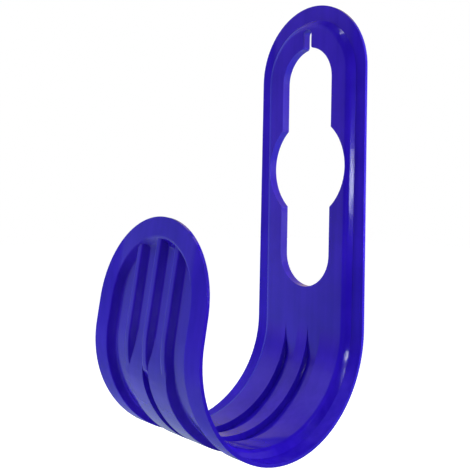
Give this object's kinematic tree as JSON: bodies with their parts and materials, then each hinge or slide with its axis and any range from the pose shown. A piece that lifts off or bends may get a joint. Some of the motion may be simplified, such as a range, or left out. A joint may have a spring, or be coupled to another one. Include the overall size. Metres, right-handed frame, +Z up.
{
  "type": "hose hanger",
  "caption": "One-piece moulded plastic hose hanger: a rounded plate with a keyhole and nail slit, turning through a ribbed saddle into a round-ended lip that holds a coiled hose.",
  "frame": {"origin": "Centre of the upper slot's round end, on the wall plane behind the plate", "axes": "+Z up along the plate, +Y into the wall, the hook opens upwards in front of the plate towards -Y, +X to the right seen from the front"},
  "size_m": [0.089, 0.1178, 0.2442],
  "materials": {
    "blue_plastic": "glossy ultramarine blue moulded plastic"
  },
  "bodies": {
    "root": {"hose_hanger": "blue_plastic"}
  },
  "joints": []
}
